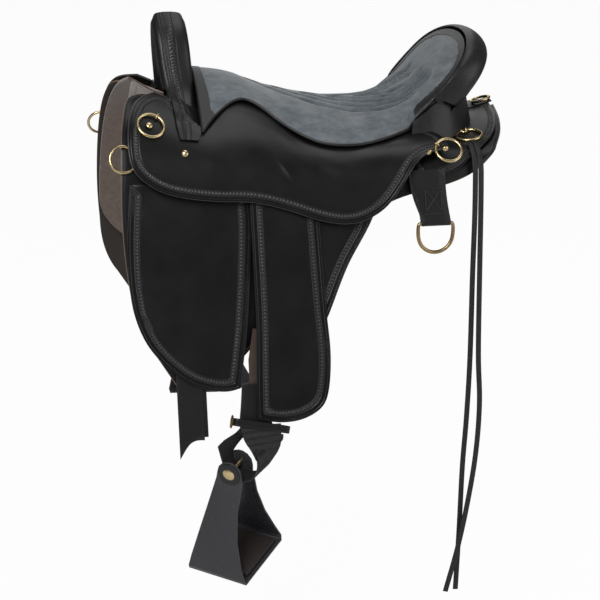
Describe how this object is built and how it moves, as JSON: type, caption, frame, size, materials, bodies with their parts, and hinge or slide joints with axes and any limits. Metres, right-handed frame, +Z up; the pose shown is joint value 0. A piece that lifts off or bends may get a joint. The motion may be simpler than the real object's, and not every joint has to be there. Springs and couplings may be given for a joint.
{
  "type": "plantation riding saddle",
  "caption": "Black leather plantation riding saddle with a padded grey suede seat, tall pommel arch, high cantle, fenders and bell stirrups.",
  "frame": {"origin": "on the centre line of the horse's back, under the seat, 20 mm below the barrel's widest line", "axes": "+X from the pommel to the cantle, +Y towards the off (right) side, +Z up"},
  "size_m": [0.7158, 0.7698, 1.0232],
  "materials": {
    "black_leather": "semi-gloss dyed leather with tooled borders",
    "grey_suede": "matt blue-grey suede with sewn channels",
    "brown_felt": "dense brown-grey felt",
    "tree_wood": "sanded wood, hidden inside",
    "brass": "polished",
    "black_metal": "black satin paint",
    "black_rubber": "matt, fine stipple",
    "ground_leather": "undyed leather, hidden under the seat"
  },
  "bodies": {
    "saddle": {"cantle_board": "tree_wood", "cantle_cover": "black_leather", "crupper_tab": "black_leather", "fork": "tree_wood", "ground_seat": "ground_leather", "near_bar": "tree_wood", "near_front_flap": "black_leather", "near_front_ring_clip": "brass", "near_hip_ring_clip": "brass", "near_jockey": "black_leather", "near_lining": "brown_felt", "near_rear_flap": "black_leather", "near_rear_jockey": "black_leather", "near_rear_strap": "black_leather", "near_seat_ring_clip": "brass", "near_skirt": "black_leather", "off_bar": "tree_wood", "off_front_flap": "black_leather", "off_front_ring_clip": "brass", "off_hip_ring_clip": "brass", "off_jockey": "black_leather", "off_lining": "brown_felt", "off_rear_flap": "black_leather", "off_rear_jockey": "black_leather", "off_rear_strap": "black_leather", "off_seat_ring_clip": "brass", "off_skirt": "black_leather", "pommel_cover": "black_leather", "seat_cushion": "grey_suede"},
    "near_fender": {"near_fender": "black_leather", "near_stirrup_leather": "black_leather", "near_hobble_strap": "black_leather", "near_hobble_buckle": "brass"},
    "near_stirrup": {"near_stirrup": "black_metal", "near_tread": "black_rubber", "near_stirrup_bolt": "brass"},
    "near_outer_billet": {"near_outer_billet": "black_leather"},
    "near_inner_billet": {"near_inner_billet": "black_leather"},
    "near_front_ring": {"near_front_ring": "brass"},
    "near_shoulder_ring": {"near_shoulder_ring": "brass"},
    "near_hip_ring": {"near_hip_ring": "brass"},
    "near_strings": {"near_front_string": "black_leather", "near_rear_string": "black_leather"},
    "near_seat_ring": {"near_seat_ring": "brass"},
    "near_rear_dee": {"near_rear_dee": "brass"},
    "off_fender": {"off_fender": "black_leather", "off_stirrup_leather": "black_leather", "off_hobble_strap": "black_leather", "off_hobble_buckle": "brass"},
    "off_stirrup": {"off_stirrup": "black_metal", "off_tread": "black_rubber", "off_stirrup_bolt": "brass"},
    "off_outer_billet": {"off_outer_billet": "black_leather"},
    "off_inner_billet": {"off_inner_billet": "black_leather"},
    "off_front_ring": {"off_front_ring": "brass"},
    "off_shoulder_ring": {"off_shoulder_ring": "brass"},
    "off_hip_ring": {"off_hip_ring": "brass"},
    "off_seat_ring": {"off_seat_ring": "brass"},
    "off_rear_dee": {"off_rear_dee": "brass"},
    "crupper_ring": {"crupper_ring": "brass"}
  },
  "joints": [
    {"name": "near_fender_swing", "type": "hinge", "parent": "saddle", "child": "near_fender", "pos_m": [-0.093, -0.23075, 0.00705], "axis": [0, -0.9703, 0.2419], "range_deg": [-5, 20]},
    {"name": "near_stirrup_swing", "type": "hinge", "parent": "near_fender", "child": "near_stirrup", "pos_m": [-0.1988, -0.3551, -0.4302], "axis": [0.5999, 0.7678, 0.225], "range_deg": [-35, 40]},
    {"name": "near_outer_billet_swing", "type": "hinge", "parent": "saddle", "child": "near_outer_billet", "pos_m": [-0.264, -0.22569, -0.01482], "axis": [0, -0.9703, 0.2419], "range_deg": [-12, 4]},
    {"name": "near_inner_billet_swing", "type": "hinge", "parent": "saddle", "child": "near_inner_billet", "pos_m": [-0.2575, -0.22287, -0.01552], "axis": [0, -0.9703, 0.2419], "range_deg": [-12, 4]},
    {"name": "near_front_ring_turn", "type": "hinge", "parent": "saddle", "child": "near_front_ring", "pos_m": [-0.29279, -0.18305, 0.12391], "axis": [-0.8195, 0.2862, 0.4965], "range_deg": [0, 120]},
    {"name": "near_shoulder_ring_turn", "type": "hinge", "parent": "saddle", "child": "near_shoulder_ring", "pos_m": [-0.35194, -0.19466, 0.07854], "axis": [-0.9997, -0.0233, 0.0101], "range_deg": [0, 12]},
    {"name": "near_hip_ring_turn", "type": "hinge", "parent": "saddle", "child": "near_hip_ring", "pos_m": [0.25169, -0.13021, 0.07581], "axis": [-0.9909, 0.0312, -0.1312], "range_deg": [0, 45]},
    {"name": "near_strings_hang", "type": "hinge", "parent": "near_hip_ring", "child": "near_strings", "pos_m": [0.25169, -0.17301, 0.06562], "axis": [-0.9909, 0.0312, -0.1312], "range_deg": [-45, 0]},
    {"name": "near_seat_ring_turn", "type": "hinge", "parent": "saddle", "child": "near_seat_ring", "pos_m": [0.17393, -0.21595, 0.06591], "axis": [-0.4845, -0.567, -0.6662], "range_deg": [0, 120]},
    {"name": "near_rear_dee_swing", "type": "hinge", "parent": "saddle", "child": "near_rear_dee", "pos_m": [0.168, -0.24147, -0.06035], "axis": [-1, 0, 0], "range_deg": [-15, 90]},
    {"name": "off_fender_swing", "type": "hinge", "parent": "saddle", "child": "off_fender", "pos_m": [-0.093, 0.23075, 0.00705], "axis": [0, -0.9703, -0.2419], "range_deg": [-4, 20]},
    {"name": "off_stirrup_swing", "type": "hinge", "parent": "off_fender", "child": "off_stirrup", "pos_m": [-0.1438, 0.33091, -0.33317], "axis": [0.5999, -0.7678, 0.225], "range_deg": [-35, 40]},
    {"name": "off_outer_billet_swing", "type": "hinge", "parent": "saddle", "child": "off_outer_billet", "pos_m": [-0.264, 0.22569, -0.01482], "axis": [0, -0.9703, -0.2419], "range_deg": [-12, 4]},
    {"name": "off_inner_billet_swing", "type": "hinge", "parent": "saddle", "child": "off_inner_billet", "pos_m": [-0.2575, 0.22287, -0.01552], "axis": [0, -0.9703, -0.2419], "range_deg": [-12, 4]},
    {"name": "off_front_ring_turn", "type": "hinge", "parent": "saddle", "child": "off_front_ring", "pos_m": [-0.29279, 0.18305, 0.12391], "axis": [0.8195, 0.2862, -0.4965], "range_deg": [0, 120]},
    {"name": "off_shoulder_ring_turn", "type": "hinge", "parent": "saddle", "child": "off_shoulder_ring", "pos_m": [-0.35194, 0.19466, 0.07854], "axis": [0.9997, -0.0233, -0.0101], "range_deg": [0, 12]},
    {"name": "off_hip_ring_turn", "type": "hinge", "parent": "saddle", "child": "off_hip_ring", "pos_m": [0.25169, 0.13021, 0.07581], "axis": [0.9909, 0.0312, 0.1312], "range_deg": [0, 90]},
    {"name": "off_seat_ring_turn", "type": "hinge", "parent": "saddle", "child": "off_seat_ring", "pos_m": [0.17393, 0.21595, 0.06591], "axis": [0.4845, -0.567, 0.6662], "range_deg": [0, 120]},
    {"name": "off_rear_dee_swing", "type": "hinge", "parent": "saddle", "child": "off_rear_dee", "pos_m": [0.168, 0.24147, -0.06035], "axis": [1, 0, 0], "range_deg": [-15, 90]},
    {"name": "crupper_ring_turn", "type": "hinge", "parent": "saddle", "child": "crupper_ring", "pos_m": [0.304, 0, 0.10552], "axis": [0, -1, 0], "range_deg": [0, 100]}
  ],
  "couplings": [
    {"joint": "near_strings_hang", "follows": "near_hip_ring_turn", "ratio": -1}
  ]
}
